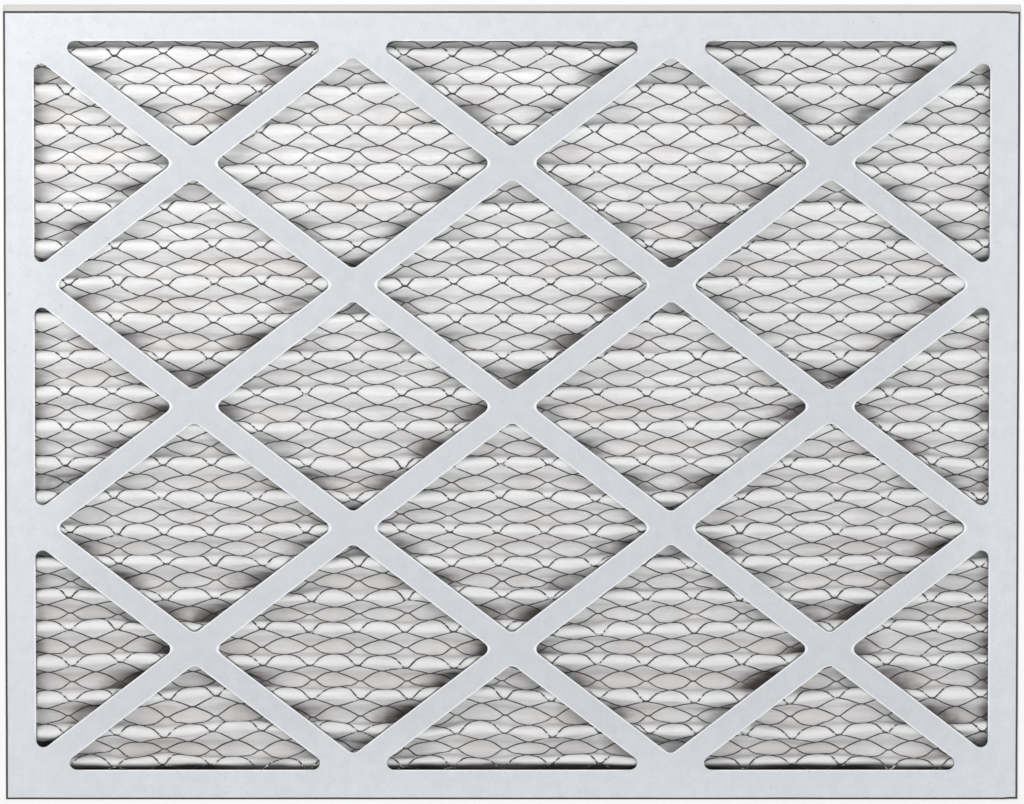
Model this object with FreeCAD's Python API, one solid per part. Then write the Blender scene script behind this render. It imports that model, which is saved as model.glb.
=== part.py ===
import FreeCAD, Part
import math
import os
from FreeCAD import Vector

# Pleated panel air filter, standing on its long edge.
# X runs along the width, Y through the depth with the lattice face that shows at -Y, Z up.
# The origin is the middle of the footprint, on the surface that the panel stands on.

# Finished panel
panel_width = 622.3
panel_height = 495.3
panel_depth = 19.05

# Paperboard of the two folded frame halves
board_thickness = 0.7
fold_inside_radius = 0.5
glue_line = 0.15
corner_tab_length = 24.0

# Die-cut windows with their diagonal lattice
border_width = 18.8
strip_width = 15.0
window_corner_radius = 4.4
window_corner_flat_turn = 20.0
diamonds_across = 3
diamonds_down = 3

# Folded filter cloth
media_thickness = 1.4
bottom_pleat_pitch = 20.6
top_pleat_pitch = 24.6
pleat_tip_radius = 3.4
pleat_tip_flats = 3
pleat_lean = 2.6
shortest_end_flap = 5.0
media_clearance = 0.15
media_end_clearance = 0.3

# Expanded metal that carries the cloth
wire_sheet_thickness = 0.5
wire_cell_width = 100.0
wire_bond_width = 6.0
wire_strand_width = 0.7
wire_clearance = 0.05
wire_end_margin = 1.0

fold_outside_radius = fold_inside_radius + board_thickness
front_y = -panel_depth / 2
back_y = panel_depth / 2


def box_between(x_range, y_range, z_range):
    """Block between two values on each axis, given in any order."""
    lows = [min(pair) for pair in (x_range, y_range, z_range)]
    highs = [max(pair) for pair in (x_range, y_range, z_range)]
    sizes = [high - low for low, high in zip(lows, highs)]
    return Part.makeBox(*sizes, Vector(*lows))


def folded_blank(width, height, wall_depth):
    """Face board at y = 0, upright on z = 0, with four walls folded back along +Y."""
    outside = box_between((-width / 2, width / 2), (0, wall_depth), (0, height))
    inside = box_between(
        (-width / 2 + board_thickness, width / 2 - board_thickness),
        (board_thickness, wall_depth + board_thickness),
        (board_thickness, height - board_thickness),
    )
    rounded_outside = outside.makeFillet(fold_outside_radius, edges_at_y(outside, 0))
    rounded_inside = inside.makeFillet(fold_inside_radius, edges_at_y(inside, board_thickness))
    return rounded_outside.cut(rounded_inside)


def edges_at_y(solid, y):
    """Edges that lie whole in the plane at the given y."""
    return [edge for edge in solid.Edges if all(abs(v.Y - y) < 1e-6 for v in edge.Vertexes)]


def eased_ring(corners):
    """Closed outline whose corners are cut back to short flats along an arc."""
    ring = []
    for index, corner in enumerate(corners):
        arriving = (corner - corners[index - 1]).normalize()
        leaving = (corners[(index + 1) % len(corners)] - corner).normalize()
        turn = arriving.getAngle(leaving)
        inward = (leaving - arriving * arriving.dot(leaving)).normalize()
        start = corner - arriving * (window_corner_radius * math.tan(turn / 2))
        flats = math.ceil(math.degrees(turn) / window_corner_flat_turn)
        for step in range(flats + 1):
            angle = turn * step / flats
            ahead = arriving * (window_corner_radius * math.sin(angle))
            aside = inward * (window_corner_radius * (1 - math.cos(angle)))
            ring.append(start + ahead + aside)
    return ring


def window_cutters():
    """Rounded diamonds and triangles that the lattice leaves open, as long as the depth."""
    window_width = panel_width - 2 * border_width
    window_height = panel_height - 2 * border_width
    half_cell_x = window_width / (2 * diamonds_across)
    half_cell_z = window_height / (2 * diamonds_down)
    strip_angle = math.degrees(math.atan2(half_cell_z, half_cell_x))
    window = box_between(
        (-window_width / 2, window_width / 2),
        (front_y - board_thickness, back_y + board_thickness),
        (border_width, border_width + window_height),
    )
    reach = 2 * (panel_width + panel_height)
    strips = []
    for step in range(-diamonds_down, diamonds_across + diamonds_down + 1):
        foot_x = -window_width / 2 + 2 * step * half_cell_x
        for slope in (-1, 1):
            strip = box_between(
                (-reach, reach),
                (front_y - 2 * board_thickness, back_y + 2 * board_thickness),
                (-strip_width / 2, strip_width / 2),
            )
            strip.rotate(Vector(0, 0, 0), Vector(0, 1, 0), slope * strip_angle)
            strip.translate(Vector(foot_x, 0, border_width))
            strips.append(strip)
    cutters = []
    for opening in window.cut(strips).Solids:
        end_face = min(opening.Faces, key=lambda face: face.CenterOfMass.y)
        ring = eased_ring([vertex.Point for vertex in end_face.OuterWire.OrderedVertexes])
        outline = Part.makePolygon(ring + ring[:1])
        cutters.append(Part.Face(outline).extrude(Vector(0, opening.BoundBox.YLength, 0)))
    return Part.makeCompound(cutters)


def front_half():
    """Outer tray: its top and bottom walls end in tabs glued inside the side walls."""
    tray = folded_blank(panel_width, panel_height, panel_depth)
    tab_outside_x = panel_width / 2 - board_thickness - glue_line
    tab_y_range = (fold_outside_radius, panel_depth - fold_outside_radius - glue_line)
    for side in (-1, 1):
        for edge_z, inward in ((0, 1), (panel_height, -1)):
            tab = box_between(
                (side * (tab_outside_x - board_thickness), side * tab_outside_x),
                tab_y_range,
                (edge_z, edge_z + inward * corner_tab_length),
            )
            slit = box_between(
                (side * tab_outside_x, side * (tab_outside_x + glue_line)),
                (fold_outside_radius, panel_depth + glue_line),
                (edge_z - inward * glue_line, edge_z + inward * 2 * board_thickness),
            )
            tray = tray.fuse(tab).cut(slit)
    tray.translate(Vector(0, front_y, 0))
    return tray.cut(window_cutters())


def back_half():
    """Inner tray: its walls lie glued inside the outer ones and stop short of the tabs."""
    inset = board_thickness + glue_line
    width = panel_width - 2 * inset
    height = panel_height - 2 * inset
    wall_depth = panel_depth - fold_outside_radius - glue_line
    tray = folded_blank(width, height, wall_depth)
    clear_x = width / 2 - board_thickness - glue_line
    clear_z = corner_tab_length + glue_line
    for side in (-1, 1):
        for edge_z, inward in ((0, 1), (height, -1)):
            notch = box_between(
                (side * clear_x, side * panel_width),
                (fold_outside_radius, panel_depth),
                (edge_z - inward * inset, edge_z + inward * (clear_z - inset)),
            )
            tray = tray.cut(notch)
    tray.rotate(Vector(0, 0, 0), Vector(0, 0, 1), 180)
    tray.translate(Vector(0, back_y, inset))
    return tray.cut(window_cutters())


# Room for the pleated pack between the boards. Heights are along Z.
# Fronts are distances toward the face that shows, so a front of 2 is at y = -2.
pack_inset = 2 * (board_thickness + glue_line) + media_end_clearance
pack_half_width = panel_width / 2 - pack_inset
pack_bottom = pack_inset
pack_top = panel_height - pack_inset
pack_front = panel_depth / 2 - board_thickness - media_clearance
pack_back = -pack_front
ridge_front = pack_front - wire_sheet_thickness - wire_clearance - media_thickness / 2
valley_front = pack_back + media_thickness / 2
ridge_centre_front = ridge_front - pleat_tip_radius
valley_centre_front = valley_front + pleat_tip_radius


def pleat_heights():
    """Heights of the valleys and of the ridges, closer together toward the bottom."""
    room = pack_top - pack_bottom - 2 * shortest_end_flap
    count = int(room / ((bottom_pleat_pitch + top_pleat_pitch) / 2))
    growth = (top_pleat_pitch - bottom_pleat_pitch) / count
    pitches = [bottom_pleat_pitch + growth * (index + 0.5) for index in range(count)]
    valleys = [(pack_bottom + pack_top - sum(pitches)) / 2]
    for pitch in pitches:
        valleys.append(valleys[-1] + pitch)
    ridges = [(low + high) / 2 + pleat_lean for low, high in zip(valleys, valleys[1:])]
    return valleys, ridges


def flank_angle(rise, run):
    """Lean of the straight flank between two equal tips, against the Z axis."""
    between_centres = math.hypot(rise, run)
    return math.atan2(rise, run) + math.asin(2 * pleat_tip_radius / between_centres)


def media_side(offset):
    """Points of one surface of the folded cloth, the given distance in front of its middle."""
    valleys, ridges = pleat_heights()
    rise = ridge_centre_front - valley_centre_front
    ridge_radius = pleat_tip_radius + offset
    valley_radius = pleat_tip_radius - offset
    points = [point(pack_bottom, valley_front + offset), point(valleys[0], valley_front + offset)]
    for index, ridge in enumerate(ridges):
        up = flank_angle(rise, ridge - valleys[index])
        down = flank_angle(rise, valleys[index + 1] - ridge)
        points += half_tip(valleys[index], valley_centre_front, valley_radius, 0, up, -1)[1:]
        points += half_tip(ridge, ridge_centre_front, ridge_radius, -up, 0, 1)
        points += half_tip(ridge, ridge_centre_front, ridge_radius, 0, down, 1)[1:]
        points += half_tip(valleys[index + 1], valley_centre_front, valley_radius, -down, 0, -1)
    points.append(point(pack_top, valley_front + offset))
    return points


def point(height, front):
    """Point of the profile at the left end of the pack."""
    return Vector(-pack_half_width, -front, height)


def half_tip(height, front, radius, start, end, facing):
    """Points round a tip's centre between two angles from its crown, facing the front or back."""
    points = []
    for step in range(pleat_tip_flats + 1):
        angle = start + (end - start) * step / pleat_tip_flats
        across = front + facing * radius * math.cos(angle)
        points.append(point(height + radius * math.sin(angle), across))
    return points


def pleated_media():
    """One sheet of cloth folded into round pleats, with a flat flap at each end."""
    back = media_side(-media_thickness / 2)
    front = media_side(media_thickness / 2)
    outline = Part.makePolygon(back + front[::-1] + back[:1])
    return Part.Face(outline).extrude(Vector(2 * pack_half_width, 0, 0))


def wire_bends():
    """Bend lines of the metal against the cloth, as pairs of height and front."""
    valleys, ridges = pleat_heights()
    wrap_radius = pleat_tip_radius + media_thickness / 2 + wire_clearance
    crown = ridge_centre_front + wrap_radius
    floor = valley_front + media_thickness / 2 + wire_clearance
    bends = [(valleys[0], floor)]
    for index, ridge in enumerate(ridges):
        for valley, side in ((valleys[index], -1), (valleys[index + 1], 1)):
            run = abs(ridge - valley)
            rise = ridge_centre_front - floor
            slope = math.atan2(rise, run) + math.asin(wrap_radius / math.hypot(rise, run))
            bends.append((valley - side * (crown - floor) / math.tan(slope), crown))
        bends.append((valleys[index + 1], floor))
    return bends


def parallel_bends(bends, distance):
    """The same bend lines on the far side of a sheet of the given thickness."""
    directions = []
    for (height, front), (next_height, next_front) in zip(bends, bends[1:]):
        directions.append(math.atan2(next_front - front, next_height - height))
    before = [directions[0]] + directions
    after = directions + [directions[-1]]
    moved = []
    for (height, front), first, second in zip(bends, before, after):
        middle = (first + second) / 2
        reach = distance / math.cos((second - first) / 2)
        moved.append((height - reach * math.sin(middle), front + reach * math.cos(middle)))
    return moved


def diamond_cutter(x, half_gap, low, middle, top):
    """Four-sided gap through the whole depth, widest at its middle height."""
    corners = [(x - half_gap, middle), (x, top), (x + half_gap, middle), (x, low)]
    ring = [Vector(corner_x, front_y, corner_z) for corner_x, corner_z in corners]
    return Part.Face(Part.makePolygon(ring + ring[:1])).extrude(Vector(0, panel_depth, 0))


def expanded_metal():
    """Slit and stretched sheet, bent over the pleats, with a row of bonds along each valley."""
    bends = wire_bends()
    outline = bends + parallel_bends(bends, wire_sheet_thickness)[::-1]
    corners = [point(height, front) for height, front in outline]
    profile = Part.Face(Part.makePolygon(corners + corners[:1]))
    sheet = profile.extrude(Vector(2 * (pack_half_width - wire_end_margin), 0, 0))
    sheet.translate(Vector(wire_end_margin, 0, 0))

    valleys, ridges = pleat_heights()
    lines = [2 * valleys[0] - valleys[1]] + valleys + [2 * valleys[-1] - valleys[-2]]
    half_gap = (wire_cell_width - wire_bond_width) / 2
    columns = math.ceil(panel_width / wire_cell_width)
    gaps = []
    for row in range(1, len(lines) - 1):
        low = lines[row - 1] + wire_strand_width
        top = lines[row + 1] - wire_strand_width
        for column in range(-columns, columns + 1):
            x = column * wire_cell_width / 2
            if (column + row) % 2 == 0 and abs(x) - half_gap < pack_half_width:
                gaps.append(diamond_cutter(x, half_gap, low, lines[row], top))
    return sheet.cut(Part.makeCompound(gaps))


def save(name, shape):
    """Write one piece to its own file, with its measures for a quick look."""
    solid = shape.Solids[0] if len(shape.Solids) == 1 else shape
    solid.exportStep("parts/" + name + ".step")
    print(name, len(shape.Solids), "solid", round(solid.Volume), "mm3", "valid", solid.isValid())


os.makedirs("parts", exist_ok=True)
save("front_frame", front_half())
save("back_frame", back_half())
save("pleated_media", pleated_media())
save("support_mesh", expanded_metal())
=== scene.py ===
import math

import bpy
import numpy as np
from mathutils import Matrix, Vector


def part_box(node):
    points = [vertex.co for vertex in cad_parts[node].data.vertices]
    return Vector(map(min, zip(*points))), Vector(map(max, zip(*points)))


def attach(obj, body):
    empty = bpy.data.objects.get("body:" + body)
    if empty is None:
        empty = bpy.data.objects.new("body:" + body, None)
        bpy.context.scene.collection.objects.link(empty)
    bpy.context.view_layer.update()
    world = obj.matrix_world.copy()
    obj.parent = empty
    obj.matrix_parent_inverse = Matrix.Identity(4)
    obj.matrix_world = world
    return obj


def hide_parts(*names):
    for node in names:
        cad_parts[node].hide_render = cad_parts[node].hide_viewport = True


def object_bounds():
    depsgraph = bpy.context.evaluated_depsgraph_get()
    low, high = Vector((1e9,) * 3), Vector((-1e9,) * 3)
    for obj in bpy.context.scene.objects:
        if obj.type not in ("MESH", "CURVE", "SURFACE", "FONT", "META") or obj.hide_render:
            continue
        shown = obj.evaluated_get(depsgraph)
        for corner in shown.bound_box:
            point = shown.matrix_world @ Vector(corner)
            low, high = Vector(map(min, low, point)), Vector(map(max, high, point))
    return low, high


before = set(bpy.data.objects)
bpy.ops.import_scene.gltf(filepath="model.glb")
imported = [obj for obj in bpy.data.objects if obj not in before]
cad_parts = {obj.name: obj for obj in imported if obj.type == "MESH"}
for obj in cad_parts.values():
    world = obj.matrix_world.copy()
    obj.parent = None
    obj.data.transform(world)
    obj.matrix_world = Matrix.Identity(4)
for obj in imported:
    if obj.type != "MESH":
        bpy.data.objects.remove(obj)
cad_low, cad_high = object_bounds()
scene = bpy.context.scene


# Pleated cloth
# One sheet of lofty, non-woven polyester, folded by machine into round pleats that run across the
# panel. It is held by the glue on its end flaps and by the lattice boards before and behind it.
cloth_low, cloth_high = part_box("pleated_media")
cloth_bottom, cloth_top = cloth_low.z, cloth_high.z
cloth_half_width = cloth_high.x
cloth_thickness = 0.0014
cloth_columns = 124
cloth_rows_per_pleat = 18

# Where the lowest valley lies, and how high each pleat is, in millimetres
first_valley = 0.0049
pleat_pitches = [20.4, 20.6, 22.3, 21.3, 21.1, 20.4, 21.2, 20.7, 20.9, 21.8, 22.8,
                 21.6, 22.9, 23.7, 23.2, 23.2, 23.4, 24.0, 24.8, 25.0, 22.9]
pleat_count = len(pleat_pitches)
pitches = np.array(pleat_pitches) / 1000
valleys = first_valley + np.concatenate([[0], np.cumsum(pitches)])

# Side view of a pleat from valley to valley: the slope of the cloth in degrees, 0 straight up and
# 90 straight out to the front, at shares of its length
pleat_shares = [0.0, 0.036, 0.09, 0.135, 0.20, 0.26, 0.31, 0.345, 0.45,
                0.56, 0.60, 0.65, 0.70, 0.76, 0.87, 0.93, 0.965, 1.0]
sagging_slopes = [-19, -17, -2, 23, 38, 52, 61, 54, 51,
                  62, 33, -28, -70, -95, -97, -90, -64, -19]
upright_slopes = [-29, -11, 33, 44, 56, 63, 59, 40, 42,
                  34, 5, -72, -97, -102, -76, -57, -43, -29]
last_sagging_pleat, first_upright_pleat = 3, 14
crest_front = -cloth_low.y - cloth_thickness / 2
valley_front = -cloth_high.y + cloth_thickness / 2
slope_steps, fold_steps = 480, 96


def one_pleat(number):
    """Height, front, and the two parts of the normal, at even steps along one fold."""
    valley, pitch = valleys[number], pitches[number]
    uprightness = (number - last_sagging_pleat) / (first_upright_pleat - last_sagging_pleat)
    uprightness = min(max(uprightness, 0), 1)
    slopes = np.array(sagging_slopes) * (1 - uprightness) + np.array(upright_slopes) * uprightness
    slopes = np.radians(np.interp(np.linspace(0, 1, slope_steps + 1), pleat_shares, slopes))
    slopes = (slopes[:-1] + slopes[1:]) / 2
    height = np.concatenate([[0], np.cumsum(np.cos(slopes))])
    height = valley + pitch * height / height[-1]
    front = np.concatenate([[0], np.cumsum(np.sin(slopes))])
    front = front - np.linspace(0, front[-1], len(front))
    front = valley_front + (crest_front - valley_front) * (front - front.min()) / np.ptp(front)
    along = np.concatenate([[0], np.cumsum(np.hypot(np.diff(height), np.diff(front)))])
    even = np.linspace(0, along[-1], fold_steps + 1)[:-1]
    height, front = np.interp(even, along, height), np.interp(even, along, front)
    rise = np.gradient(np.append(height, valley + pitch))
    run = np.gradient(np.append(front, front[0]))
    length = np.hypot(rise, run)
    return np.stack([height, front, (-run / length)[:-1], (rise / length)[:-1]], axis=1)


folds = [one_pleat(number) for number in range(pleat_count)]
top_valley = np.array([[valleys[-1], folds[0][0, 1], 0.0, 1.0]])
fold_table = np.concatenate(folds + [top_valley])
fold_turns = np.linspace(0, pleat_count, len(fold_table))
fold_path = np.hypot(*np.diff(fold_table[:, :2], axis=0).T).sum()

chance = np.random.RandomState(41)
sway_waves = np.array([0.42, 0.22, 0.13, 0.078])


def sways(count, size):
    """Sizes and starts of slow random waves along the width, for each of a number of fold lines."""
    shape = (count, len(sway_waves))
    return size * chance.uniform(0.3, 1, shape), chance.uniform(0, 2 * math.pi, shape)


# How far the fold lines wander up and down, and the crests back and the valleys forward. The
# crests of the lowest pleats are the slackest.
crest_sway = sways(pleat_count, 0.0005)
valley_sway = sways(pleat_count + 1, 0.0004)
crest_dip = sways(pleat_count, 0.00032)
valley_lift = sways(pleat_count + 1, 0.0004)
crest_slack, low_crest_slack, slack_pleats = 0.9, 2.6, 12

# Small wrinkles, each with a direction and spacing of its own, laid over the cloth's length
crease_count = 26
crease_angles = chance.uniform(-0.9, 0.9, crease_count) + math.pi / 2
crease_waves = chance.uniform(0.014, 0.048, crease_count)
crease_starts = chance.uniform(0, 2 * math.pi, crease_count)
crease_height = 0.0006
crest_crease_loss = 0.5
cloth_per_pleat = 0.044


def swayed(sway, index, x):
    """Value of the numbered fold line's wave at each place along the width."""
    sizes, starts = sway
    total = np.zeros_like(x)
    for k, wave in enumerate(sway_waves):
        total += sizes[index, k] * np.sin(2 * math.pi * x / wave + starts[index, k])
    return total


def creases(turn, x):
    """Small soft wrinkles, as a height over the smooth fold."""
    path = turn * cloth_per_pleat
    total = np.zeros_like(x)
    for angle, wave, start in zip(crease_angles, crease_waves, crease_starts):
        along = x * math.sin(angle) + path * math.cos(angle)
        total += np.sin(2 * math.pi * along / wave + start) * wave / crease_waves.mean()
    return crease_height * total / math.sqrt(crease_count / 2)


def on_cloth(turn, x, lift):
    """Places on the folded sheet, from pleats above the bottom and height over its middle."""
    turn = np.clip(turn, 0, pleat_count)
    height, front, normal_up, normal_out = (
        np.interp(turn, fold_turns, fold_table[:, k]) for k in range(4))
    pleat = np.minimum(turn.astype(int), pleat_count - 1)
    near_valley = np.minimum(np.round(turn).astype(int), pleat_count)
    share = (front - valley_front) / (crest_front - valley_front)
    slack = crest_slack + low_crest_slack * np.clip(1 - turn / slack_pleats, 0, 1)
    height = height + slack * share * swayed(crest_sway, pleat, x)
    height = height + (1 - share) * swayed(valley_sway, near_valley, x)
    front = front - share * np.abs(swayed(crest_dip, pleat, x))
    front = front + (1 - share) * np.abs(swayed(valley_lift, near_valley, x))
    lift = lift + creases(turn, x) * (1 - crest_crease_loss * share)
    return np.stack([x, -(front + lift * normal_out), height + lift * normal_up], axis=-1)


def sheet_object(name, places, faces, smooth):
    """New object from an array of places and a list of faces."""
    mesh = bpy.data.meshes.new(name)
    mesh.from_pydata([tuple(p) for p in places.reshape(-1, 3)], [], faces)
    mesh.polygons.foreach_set("use_smooth", [smooth] * len(mesh.polygons))
    mesh.update()
    made = bpy.data.objects.new(name, mesh)
    scene.collection.objects.link(made)
    return made


def folded_cloth():
    """Closed sheet: a front and a back skin, joined round the four cut edges."""
    turns = np.linspace(0, pleat_count, pleat_count * cloth_rows_per_pleat + 1)
    across = np.linspace(-cloth_half_width, cloth_half_width, cloth_columns + 1)
    turn_grid, x_grid = np.meshgrid(turns, across, indexing="ij")
    skins = []
    for lift in (cloth_thickness / 2, -cloth_thickness / 2):
        skin = on_cloth(turn_grid, x_grid, lift)
        low_flap, high_flap = skin[0].copy(), skin[-1].copy()
        low_flap[:, 2], high_flap[:, 2] = cloth_bottom, cloth_top
        skin = np.concatenate([low_flap[None], skin, high_flap[None]])
        skin[:, :, 1] = np.clip(skin[:, :, 1], cloth_low.y, cloth_high.y)
        skins.append(skin)
    rows, columns = skins[0].shape[:2]
    back = rows * columns
    faces = []
    for r in range(rows - 1):
        for c in range(columns - 1):
            a = r * columns + c
            quad = (a, a + 1, a + 1 + columns, a + columns)
            faces.append(quad)
            faces.append(tuple(back + k for k in reversed(quad)))
    rim = list(range(columns)) + [r * columns + columns - 1 for r in range(1, rows)]
    rim += [(rows - 1) * columns + c for c in range(columns - 2, -1, -1)]
    rim += [r * columns for r in range(rows - 2, 0, -1)]
    for here, there in zip(rim, rim[1:] + rim[:1]):
        faces.append((here, back + here, back + there, there))
    return sheet_object("pleated_cloth", np.stack(skins), faces, True)


class Socket:
    """A shader value that can be added to, multiplied and so on, in one node tree."""

    def __init__(self, tree, output=None):
        self.tree = tree
        self.output = output

    def node(self, kind, settings=None, out=0, **inputs):
        """Socket of a new node, given its settings and the values or links of its inputs."""
        new = self.tree.nodes.new(kind)
        for name, value in (settings or {}).items():
            setattr(new, name, value)
        for name, value in inputs.items():
            by_number = name[0] == "i" and name[1:].isdigit()
            key = int(name[1:]) if by_number else name.replace("_", " ")
            if isinstance(value, Socket):
                self.tree.links.new(value.output, new.inputs[key])
            else:
                new.inputs[key].default_value = value
        return Socket(self.tree, new.outputs[out])

    def maths(self, operation, *others):
        inputs = {"i%d" % k: value for k, value in enumerate((self, *others))}
        return self.node("ShaderNodeMath", {"operation": operation}, **inputs)

    def __add__(self, other):
        return self.maths("ADD", other)

    def __sub__(self, other):
        return self.maths("SUBTRACT", other)

    def __mul__(self, other):
        return self.maths("MULTIPLY", other)

    def __truediv__(self, other):
        return self.maths("DIVIDE", other)

    def __rsub__(self, other):
        return (self * -1.0) + other

    __radd__ = __add__
    __rmul__ = __mul__

    def rises(self, low, high):
        """0 below low, 1 above high, smooth between them."""
        return self.node("ShaderNodeMapRange", {"interpolation_type": "SMOOTHSTEP"},
                         Value=self, From_Min=low, From_Max=high)

    def noise(self, scale, detail=3.0, roughness=0.55):
        return self.node("ShaderNodeTexNoise", Vector=self,
                         Scale=scale, Detail=detail, Roughness=roughness)

    def stretched(self, x, y, z):
        return self.node("ShaderNodeVectorMath", {"operation": "MULTIPLY"}, i0=self, i1=(x, y, z))

    def mixed(self, first, second):
        """First colour where this is 0, second where it is 1."""
        return self.node("ShaderNodeMix", {"data_type": "RGBA"}, out=2,
                         i0=self, i6=first, i7=second)

    def into(self, shader, name):
        self.tree.links.new(self.output, shader.inputs[name])


def new_material(name):
    """Empty material, with its shader and its place, also split into x, y and z."""
    made = bpy.data.materials.new(name)
    made.use_nodes = True
    place = Socket(made.node_tree).node("ShaderNodeTexCoord", out="Object")
    axes = [place.node("ShaderNodeSeparateXYZ", out=axis, Vector=place) for axis in "XYZ"]
    return made, made.node_tree.nodes["Principled BSDF"], place, axes


# The lattice before the cloth: the right and lower edges of its windows, the size of a cell, how
# far apart the strips lie and half their width
window_right, window_low = 0.29235, 0.0188
cell_across, cell_up = 0.1949, 0.15256
strip_spacing, strip_half = 0.1201, 0.0075


def lattice_cells(x, z):
    """How many cells right and up of the windows' lower left corner.

    The strips run where the sum or the difference of the two is a whole number.
    """
    return (x + window_right) / cell_across, (z - window_low) / cell_up


# Where in the panel's depth the ridges, the middles of the slopes and the valleys lie
ridge_depth, slope_depth, valley_depth = -0.0085, -0.001, 0.0075
fibre_grey, fibre_white = (0.77, 0.765, 0.76, 1), (0.90, 0.90, 0.90, 1)
patch_grey = (0.66, 0.64, 0.62, 1)
tuft_grey = (0.68, 0.665, 0.655, 1)
blush_pink = (0.74, 0.68, 0.665, 1)
ridge_shade_grey = (0.64, 0.635, 0.63, 1)
valley_shade_brown = (0.52, 0.49, 0.47, 1)
strip_shade_brown = (0.055, 0.038, 0.035, 1)
edge_shadow = (0.05, 0.04, 0.036, 1)
gap_shade_black = (0.016, 0.011, 0.010, 1)
strip_shade_wander, strip_shade_start, strip_shade_end = 0.016, 0.006, 0.021
left_side_less_strip_shade = 0.004
edge_width = 0.0013
gap_shade_wander, gap_shade_start, gap_shade_end = 0.008, 0.0245, 0.028


def cloth_material():
    """Matt fibres with grey patches, and painted shade in the valleys, on the lower ridges, beside
    the strips, along the window edges and in the lowest valley.
    """
    made, shader, place, (x, y, z) = new_material("filter_cloth")
    fibres = place.stretched(0.16, 1.0, 1.0).noise(900.0, 4.0, 0.65)
    streaks = place.stretched(0.07, 1.0, 1.0).noise(260.0, 3.0, 0.6)
    patches = place.stretched(0.35, 1.0, 1.0).noise(34.0, 3.0, 0.55)
    tufts = place.stretched(0.55, 1.0, 1.0).noise(105.0, 4.0, 0.62)
    blushes = place.stretched(0.5, 1.0, 1.0).noise(52.0, 2.0, 0.5)
    depth = y.rises(ridge_depth, valley_depth)
    low = 1 - z.rises(0.0, 0.42)

    colour = (fibres * 0.35 + streaks * 0.65).rises(0.34, 0.66).mixed(fibre_grey, fibre_white)
    colour = (patches.rises(0.45, 0.72) * 0.4).mixed(colour, patch_grey)
    colour = (tufts.rises(0.46, 0.72) * 0.5).mixed(colour, tuft_grey)
    colour = (blushes.rises(0.48, 0.62) * 0.3).mixed(colour, blush_pink)
    # Painted shade: the ridges are greyed, more towards the bottom.
    on_ridge = 1 - y.rises(ridge_depth, slope_depth)
    colour = (on_ridge * (0.3 + 0.2 * low)).mixed(colour, ridge_shade_grey)
    # Painted shade: the valleys are darkened by their depth, more towards the bottom.
    colour = (depth * (0.1 + 0.3 * low)).mixed(colour, valley_shade_brown)

    # Painted shade: patchy brown shade in the deeper cloth beside the lower edges of the strips and
    # the side borders.
    right, up = lattice_cells(x, z)
    to_lower_right = (1 - (right - up).maths("FRACT")) * strip_spacing - strip_half
    to_lower_left = (right + up).maths("FRACT") * strip_spacing - strip_half
    to_side = window_right - x.maths("ABSOLUTE")
    strip_shade = to_lower_right.maths("MINIMUM", to_lower_left + left_side_less_strip_shade)
    strip_shade = strip_shade.maths("MINIMUM", to_side + left_side_less_strip_shade)
    strip_shade = 1 - (strip_shade + tufts * strip_shade_wander).rises(strip_shade_start, strip_shade_end)
    strip_shade = strip_shade * y.rises(-0.003, 0.005) * patches.rises(0.38, 0.50) * (0.6 + 0.35 * low)
    colour = strip_shade.mixed(colour, strip_shade_brown)

    # Painted shadow: a thin dark line on the ridges along the window edges.
    edge = to_lower_right.maths("MINIMUM", to_lower_left).maths("MINIMUM", to_side)
    edge = (1 - edge.rises(0.0, edge_width)) * (1 - y.rises(-0.007, -0.002)) * 0.75
    colour = edge.mixed(colour, edge_shadow)
    # Painted shade: the lowest valley, just above the lower border, is made nearly black, except
    # where the cloth lies at the very back.
    gap_shade = 1 - (z + patches * gap_shade_wander).rises(gap_shade_start, gap_shade_end)
    gap_shade = gap_shade * (1 - y.rises(0.0066, 0.0078)) * 0.95
    gap_shade.mixed(colour, gap_shade_black).into(shader, "Base Color")
    shader.inputs["Roughness"].default_value = 0.92
    shader.inputs["Specular IOR Level"].default_value = 0.2
    relief = streaks + fibres * 0.5
    place.node("ShaderNodeBump", Strength=0.55, Distance=0.0006, Height=relief).into(
        shader, "Normal")
    return made


cloth = folded_cloth()
cloth.data.materials.append(cloth_material())
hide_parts("pleated_media")
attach(cloth, "root")


# Expanded metal
# Thin steel sheet, slit and stretched into diamonds, then bonded to the front of the cloth and
# folded with it. Each pleat carries four half rows of strands, which meet in short flat bonds.
cell_width = 0.0295
bond_length = 0.0024
strand_width = 0.00072
strand_thickness = 0.00040
strand_clearance = 0.00003
first_bond_line = 0.073
bond_offset = 0.4
strand_steps = 5
rows_per_pleat = 4
rows_below = 2
mesh_half_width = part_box("support_mesh")[1].x
strand_end_margin = 0.004

# Wander of the columns of diamonds: how far, radians for each pleat, radians for each metre
wander_terms = [(0.0016, 2 * math.pi / 13, 4), (0.0011, 1.7, 9), (0.0005, 5.1, 31)]
wander_starts = np.random.RandomState(7).uniform(0, 2 * math.pi, len(wander_terms))
column_shift = 0.008


def column_sway(turn, x):
    """How far the slack columns of diamonds have wandered along the width."""
    total = 0
    for (size, per_pleat, per_metre), start in zip(wander_terms, wander_starts):
        total = total + size * np.sin(per_pleat * turn + start + per_metre * x)
    return total + column_shift


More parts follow.
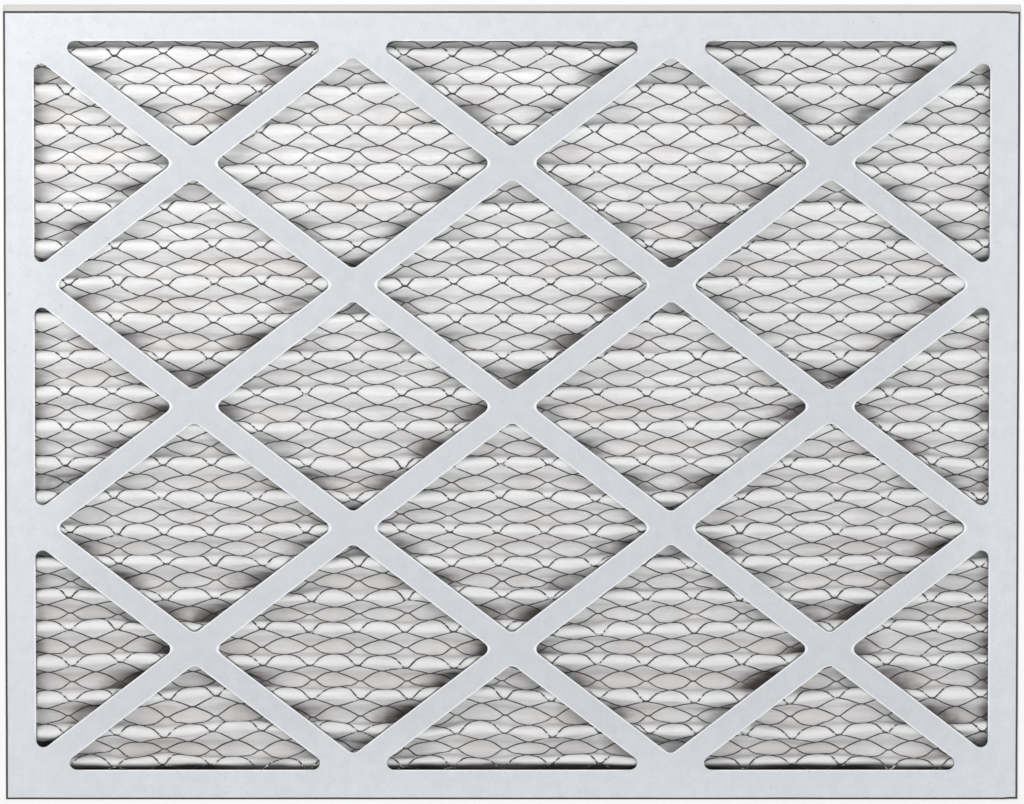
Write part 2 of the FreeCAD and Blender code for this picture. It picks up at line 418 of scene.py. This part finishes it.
def wave_line(row, x_start, x_end):
    """Middle line of one row of strands, from bond to bond, as pleat turns and places in x."""
    low_line = first_bond_line + row / rows_per_pleat
    first_column = math.floor(2 * x_start / cell_width) - 1
    last_column = math.ceil(2 * x_end / cell_width) + 1
    xs, rises = [], []
    for column in range(first_column, last_column + 1):
        middle = column * cell_width / 2
        xs.extend([middle - bond_length / 2, middle + bond_length / 2])
        rises.extend([1.0 if (column + row) % 2 == 0 else 0.0] * 2)
    fine_x, fine_rise = [xs[0]], [rises[0]]
    for k in range(len(xs) - 1):
        steps = 1 if rises[k] == rises[k + 1] else strand_steps
        for step in range(1, steps + 1):
            fine_x.append(xs[k] + (xs[k + 1] - xs[k]) * step / steps)
            fine_rise.append(rises[k] + (rises[k + 1] - rises[k]) * step / steps)
    fine_x, fine_rise = np.array(fine_x), np.array(fine_rise)
    inside = (fine_x >= x_start) & (fine_x <= x_end)
    return low_line + fine_rise[inside] / rows_per_pleat, fine_x[inside], fine_rise[inside]


def strand_rows():
    """Places and faces of the flat ribbons of all rows of strands."""
    pleat_length = fold_path / pleat_count
    half_width = strand_width / 2
    half_turn = half_width / pleat_length
    under = cloth_thickness / 2 + strand_clearance
    over = cloth_thickness / 2 + strand_thickness
    line_end = mesh_half_width - strand_end_margin
    places, faces, base = [], [], 0
    for row in range(-rows_below, rows_per_pleat * pleat_count + 1):
        turn, x, rise = wave_line(row, -line_end, line_end)
        keep = (turn >= 0) & (turn <= pleat_count)
        if keep.sum() < 2:
            continue
        turn, x, rise = turn[keep], x[keep], rise[keep]
        turn = turn + (0.5 - rise) * 2 * half_turn * bond_offset
        d_turn, d_x = np.gradient(turn) * pleat_length, np.gradient(x)
        length = np.hypot(d_turn, d_x)
        side_turn, side_x = d_x / length * half_turn, -d_turn / length * half_width
        x = x + column_sway(turn, x)
        ring = [on_cloth(turn + side * side_turn, x + side * side_x, lift)
                for side, lift in ((-1, under), (1, under), (1, over), (-1, over))]
        ring = np.stack(ring, axis=1)
        ring[:, :, 0] = np.clip(ring[:, :, 0], -mesh_half_width, mesh_half_width)
        places.append(ring.reshape(-1, 3))
        count = len(turn)
        for k in range(count - 1):
            for corner in range(4):
                other = (corner + 1) % 4
                faces.append((base + 4 * k + corner, base + 4 * k + other,
                              base + 4 * k + 4 + other, base + 4 * k + 4 + corner))
        faces.append((base + 3, base + 2, base + 1, base))
        end = base + 4 * (count - 1)
        faces.append((end, end + 1, end + 2, end + 3))
        base += 4 * count
    return np.concatenate(places), faces


dark_metal, worn_metal = (0.035, 0.032, 0.031, 1), (0.11, 0.105, 0.10, 1)
pale_spot_white = (0.62, 0.61, 0.60, 1)


def metal_material():
    """Dark, half matt steel with pale spots where it passes over the ridges."""
    made, shader, place, (_, y, _) = new_material("mesh_metal")
    tarnish = place.noise(220.0, 3.0)
    pale_spots = place.noise(430.0, 2.0).rises(0.57, 0.60) * (1 - y.rises(-0.006, -0.003)) * 0.9
    colour = tarnish.rises(0.35, 0.7).mixed(dark_metal, worn_metal)
    pale_spots.mixed(colour, pale_spot_white).into(shader, "Base Color")
    (tarnish * 0.25 + 0.38).into(shader, "Roughness")
    shader.inputs["Metallic"].default_value = 0.35
    return made


strands = sheet_object("expanded_metal", *strand_rows(), False)
strands.data.materials.append(metal_material())
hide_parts("support_mesh")
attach(strands, "root")


# Paperboard frame halves
# Each is one die-cut sheet of coated board, scored and folded into a tray. The coated face is a
# cool white with a painted highlight round its windows, the raw cut edge and the outside of the
# walls are warmer, and the score round the face shows as a thin dark line: the crease's brown,
# darkened with painted shade.
face_grey, face_white = (0.585, 0.598, 0.625, 1), (0.64, 0.654, 0.68, 1)
cloud_grey = (0.605, 0.61, 0.632, 1)
inner_grey = (0.25, 0.26, 0.28, 1)
rim_highlight_white = (0.88, 0.88, 0.89, 1)
speck_grey = (0.42, 0.41, 0.40, 1)
wall_grey, wall_white = (0.65, 0.615, 0.585, 1), (0.73, 0.70, 0.665, 1)
score_shade_brown = (0.025, 0.016, 0.014, 1)
rim_out, rim_in = (-0.0011, -0.0005), (0.0002, 0.0006)
score_low, score_high, score_blur = 0.0001, 0.0015, 0.0002
score_wander, right_score_extra = 0.0004, 0.0004
speck_level = 0.735


def board_material(name, face_is_front):
    """Coated face with a painted highlight round its windows, warmer walls, and the front's score
    line, darkened with painted shade.
    """
    made, shader, place, (x, y, z) = new_material(name)
    normal = place.node("ShaderNodeNewGeometry", out="Normal")
    facing = place.node("ShaderNodeSeparateXYZ", out="Y", Vector=normal)
    on_face = facing.maths("ABSOLUTE").rises(0.25, 0.6)
    inset_x = cad_high.x - x.maths("ABSOLUTE")
    inset = inset_x.maths("MINIMUM", z.maths("MINIMUM", cad_high.z - z))
    grain = place.noise(520.0, 3.0, 0.7)
    mottle = place.noise(120.0, 3.0, 0.6)
    cloudy = place.noise(9.0, 2.0)

    face = (grain * 0.5 + mottle * 0.5).rises(0.36, 0.64).mixed(face_grey, face_white)
    face = (cloudy.rises(0.35, 0.75) * 0.35).mixed(face, cloud_grey)
    face = (inset.rises(0.008, 0.06) * 0.17).mixed(face, inner_grey)
    right, up = lattice_cells(x, z)
    to_strip = (right - up).maths("PINGPONG", 0.5).maths(
        "SMOOTH_MIN", (right + up).maths("PINGPONG", 0.5), 0.07)
    to_strip = to_strip * strip_spacing - strip_half
    to_border = inset - window_low
    # Painted highlight: a pale rim on the face along the edges of the windows and the border.
    on_strip = to_strip.rises(*rim_out) * (1 - to_strip.rises(*rim_in))
    on_strip = on_strip * to_border.rises(0.007, 0.012)
    on_border = to_border.rises(*rim_out) * (1 - to_border.rises(*rim_in))
    on_border = on_border * to_strip.rises(0.007, 0.011)
    face = ((on_strip + on_border) * 0.65).mixed(face, rim_highlight_white)
    specks = place.noise(310.0, 1.0).rises(speck_level, speck_level + 0.03)
    face = (specks * 0.5).mixed(face, speck_grey)

    wall = (grain * 0.6 + cloudy * 0.4).rises(0.35, 0.7).mixed(wall_grey, wall_white)
    colour = on_face.mixed(wall, face)
    # The score line round the front face: the crease's brown, darkened with painted shade into a
    # near-black line.
    if face_is_front:
        wander = place.noise(14.0, 2.0) * score_wander - score_wander / 2
        at_right = x.rises(cad_high.x - 0.01, cad_high.x - 0.005)
        across = inset + (wander - at_right * right_score_extra)
        line = across.rises(score_low, score_low + score_blur)
        line = line * (1 - across.rises(score_high - score_blur, score_high))
        line = line * (1 - y.rises(cad_low.y + 0.0011, cad_low.y + 0.0015)) * 0.96
        colour = line.mixed(colour, score_shade_brown)
    colour.into(shader, "Base Color")
    (grain * 0.12 + 0.55).into(shader, "Roughness")
    shader.inputs["Specular IOR Level"].default_value = 0.35
    place.node("ShaderNodeBump", Strength=0.25, Distance=0.0002, Height=grain + mottle).into(
        shader, "Normal")
    return made


for node_name, slot_name, is_front in (("front_frame", "front_board", True),
                                       ("back_frame", "back_board", False)):
    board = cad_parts[node_name]
    board.data.materials.clear()
    board.data.materials.append(board_material(slot_name + "_paper", is_front))


# Studio
# A wide white floor under the standing panel, and a white surround. Four soft square lights: one
# high at the front left, a small one near the face's upper left corner, a large one at the front
# right, and one behind.
floor_size = 60.0
floor_drop = 0.0002
floor_white, full_white = (0.9, 0.9, 0.9, 1), (1, 1, 1, 1)
floor_glow = 0.75
surround_white = (0.96, 0.98, 1.0, 1)
surround_strength = 0.49


def floor_material():
    """Matt white that also glows a little where it is seen directly."""
    made = bpy.data.materials.new("studio_floor")
    made.use_nodes = True
    tree = made.node_tree
    shader = tree.nodes["Principled BSDF"]
    shader.inputs["Base Color"].default_value = floor_white
    shader.inputs["Roughness"].default_value = 0.9
    matt = Socket(tree, shader.outputs["BSDF"])
    seen = matt.node("ShaderNodeLightPath", out="Is Camera Ray")
    glow = matt.node("ShaderNodeEmission", Color=full_white)
    surface = matt.node("ShaderNodeMixShader", i0=seen * floor_glow, i1=matt, i2=glow)
    surface.into(tree.nodes["Material Output"], "Surface")
    return made


def surround():
    """White all round, dimmer for the light that it gives than where it is seen."""
    made = bpy.data.worlds.new("surround")
    made.use_nodes = True
    tree = made.node_tree
    background = tree.nodes["Background"]
    background.inputs["Color"].default_value = surround_white
    background.inputs["Strength"].default_value = surround_strength
    dim = Socket(tree, background.outputs["Background"])
    bright = dim.node("ShaderNodeBackground", Color=full_white)
    seen = dim.node("ShaderNodeLightPath", out="Is Camera Ray")
    seen = seen.maths("MAXIMUM", dim.node("ShaderNodeLightPath", out="Is Glossy Ray"))
    sky = dim.node("ShaderNodeMixShader", i0=seen, i1=dim, i2=bright)
    sky.into(tree.nodes["World Output"], "Surface")
    return made


bpy.ops.mesh.primitive_plane_add(size=floor_size, location=(0, 0, cad_low.z - floor_drop))
floor = bpy.context.object
floor.name = "studio_floor"
floor.data.materials.append(floor_material())
scene.world = surround()

panel_middle = Vector((0, cad_low.y, (cad_low.z + cad_high.z) / 2))


def soft_light(name, place, size, power, colour):
    """Square area light of a size in metres and a power in watts, turned toward the face."""
    data = bpy.data.lights.new(name, "AREA")
    data.size = size
    data.energy = power
    data.color = colour
    lamp = bpy.data.objects.new(name, data)
    scene.collection.objects.link(lamp)
    lamp.location = place
    lamp.rotation_mode = "QUATERNION"
    lamp.rotation_quaternion = (panel_middle - lamp.location).to_track_quat("-Z", "Y")


soft_light("key_light", Vector((-1.5, -2.6, 1.4)), 1.2, 11.0, (1.0, 0.985, 0.97))
soft_light("corner_light", Vector((-0.52, -0.42, 0.66)), 0.3, 1.35, (1.0, 0.99, 0.98))
soft_light("front_light", Vector((1.3, -2.9, 0.6)), 1.6, 50.0, (0.97, 0.985, 1.0))
soft_light("back_light", Vector((0.2, 2.2, 1.4)), 1.4, 23.0, (1.0, 1.0, 1.0))


# Camera
# A long lens a little above the panel, so that the face keeps straight edges and a strip of the
# top wall shows.
picture_width = 1024
face_width_shown = 1015.6
face_middle_below_centre = 4.5
camera_elevation = math.radians(12.6)

camera_data = bpy.data.cameras.new("camera")
camera_data.lens = 1000.0
camera_data.sensor_width = 36.0
camera_data.clip_start = 0.1
camera_data.clip_end = 100.0
camera = bpy.data.objects.new("camera", camera_data)
scene.collection.objects.link(camera)
shown_width = (cad_high.x - cad_low.x) * picture_width / face_width_shown
distance = shown_width * camera_data.lens / camera_data.sensor_width
toward = Vector((0, math.cos(camera_elevation), -math.sin(camera_elevation)))
picture_up = Vector((0, math.sin(camera_elevation), math.cos(camera_elevation)))
aim = panel_middle + picture_up * face_middle_below_centre * shown_width / picture_width
camera.location = aim - toward * distance
camera.rotation_mode = "QUATERNION"
camera.rotation_quaternion = toward.to_track_quat("-Z", "Y")
scene.camera = camera
scene.view_settings.view_transform = "Standard"
